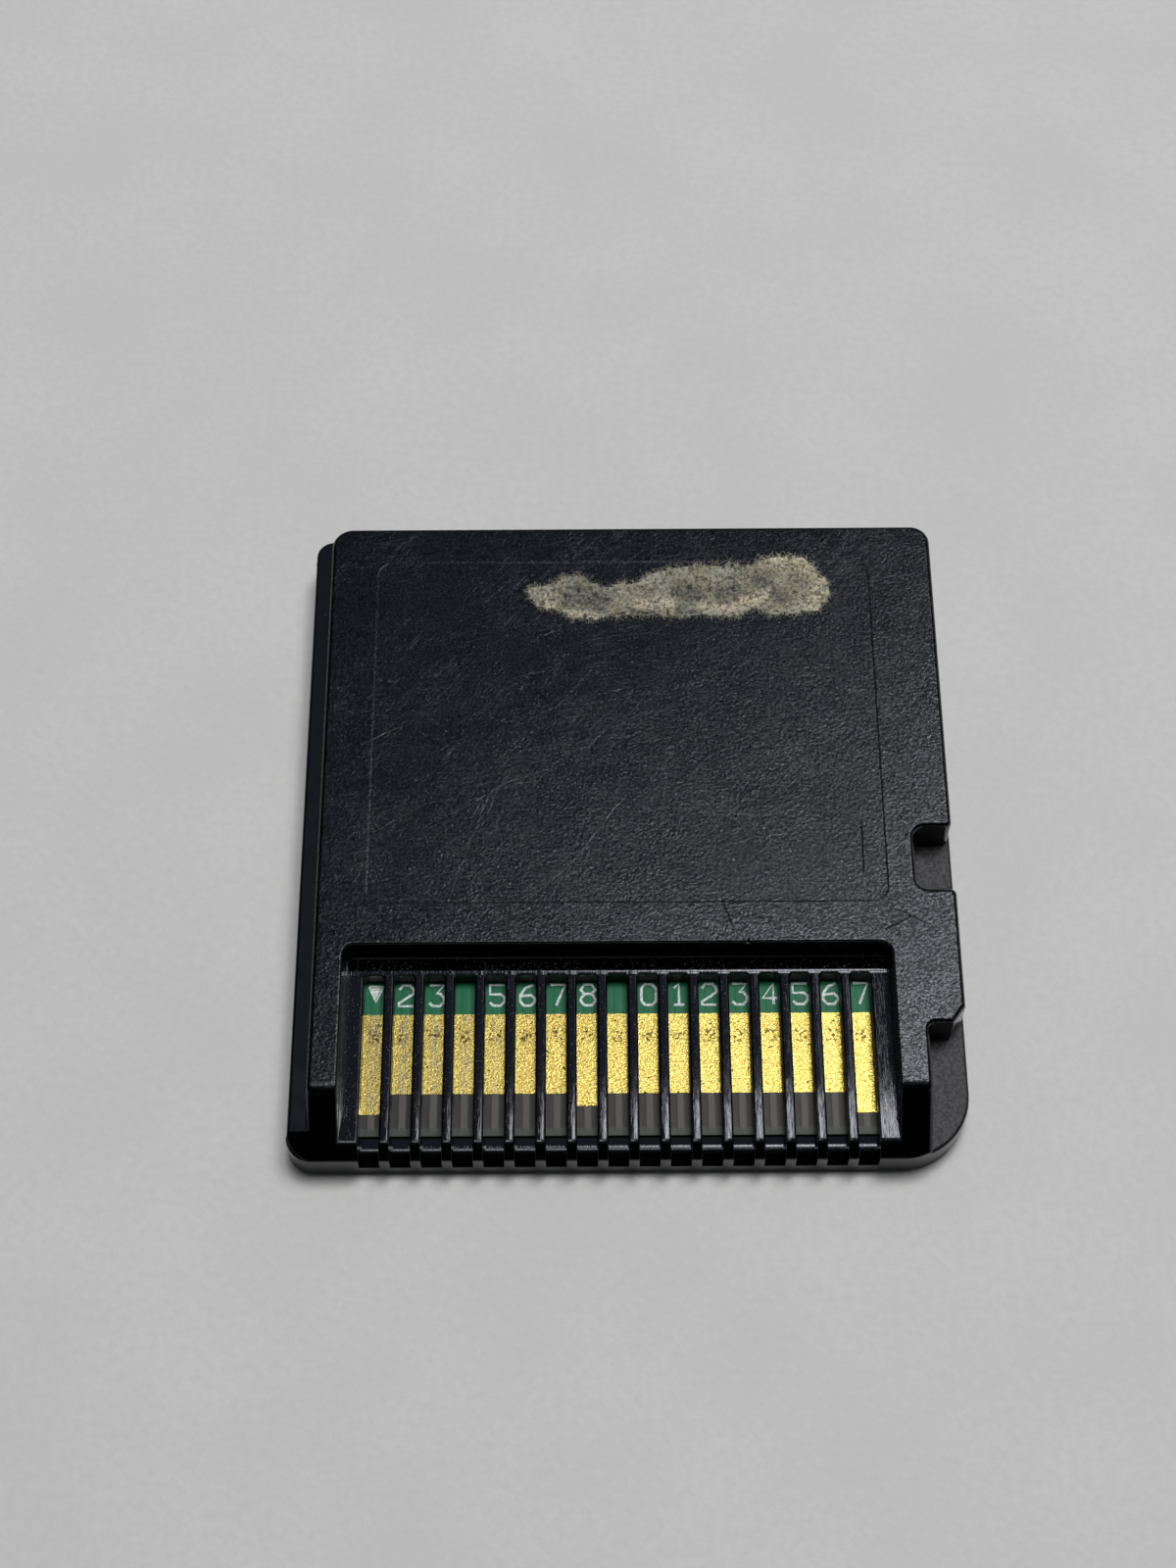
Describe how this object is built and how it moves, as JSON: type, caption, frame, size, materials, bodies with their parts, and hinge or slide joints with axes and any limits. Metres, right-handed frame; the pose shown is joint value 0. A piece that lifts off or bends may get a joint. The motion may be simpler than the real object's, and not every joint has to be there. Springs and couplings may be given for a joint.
{
  "type": "game cartridge",
  "caption": "Thin square game card of dark infrared-pass plastic with a comb-guarded row of gold edge contacts, a guide step, a latch notch and a keyed corner.",
  "frame": {"origin": "middle of the label face's plane, under the centre of the card's box", "axes": "+Z out of the back face that shows the contacts, -Y towards the contact end, +X to the right as the contacts are seen"},
  "size_m": [0.033, 0.035, 0.0039],
  "materials": {
    "shell_plastic": "near-black infrared-pass plastic, fine grain on the back, polished in the recess, scratched",
    "board_laminate": "green solder mask over glass-fibre laminate, bare towards the contact end",
    "contact_gold": "gold plating, mottled and worn in streaks",
    "chip_epoxy": "moulded black epoxy",
    "can_metal": "plain metal can",
    "lens_plastic": "dark clear lens plastic",
    "capacitor_ceramic": "fired ceramic",
    "resistor_ceramic": "dark glazed film on ceramic",
    "sticker_paper": "torn cream paper fibres with dried glue"
  },
  "bodies": {
    "root": {"front_shell": "shell_plastic", "back_shell": "shell_plastic", "circuit_board": "board_laminate", "sticker_residue": "sticker_paper", "oscillator": "can_metal", "infrared_transceiver": "lens_plastic", "contact_pad_01": "contact_gold", "contact_pad_02": "contact_gold", "contact_pad_03": "contact_gold", "contact_pad_04": "contact_gold", "contact_pad_05": "contact_gold", "contact_pad_06": "contact_gold", "contact_pad_07": "contact_gold", "contact_pad_08": "contact_gold", "contact_pad_09": "contact_gold", "contact_pad_10": "contact_gold", "contact_pad_11": "contact_gold", "contact_pad_12": "contact_gold", "contact_pad_13": "contact_gold", "contact_pad_14": "contact_gold", "contact_pad_15": "contact_gold", "contact_pad_16": "contact_gold", "contact_pad_17": "contact_gold", "memory_chip": "chip_epoxy", "infrared_chip": "chip_epoxy", "save_chip": "chip_epoxy", "capacitor_1": "capacitor_ceramic", "capacitor_2": "capacitor_ceramic", "capacitor_3": "capacitor_ceramic", "capacitor_4": "capacitor_ceramic", "resistor_1": "resistor_ceramic", "resistor_2": "resistor_ceramic", "resistor_3": "resistor_ceramic", "resistor_4": "resistor_ceramic"}
  },
  "joints": []
}
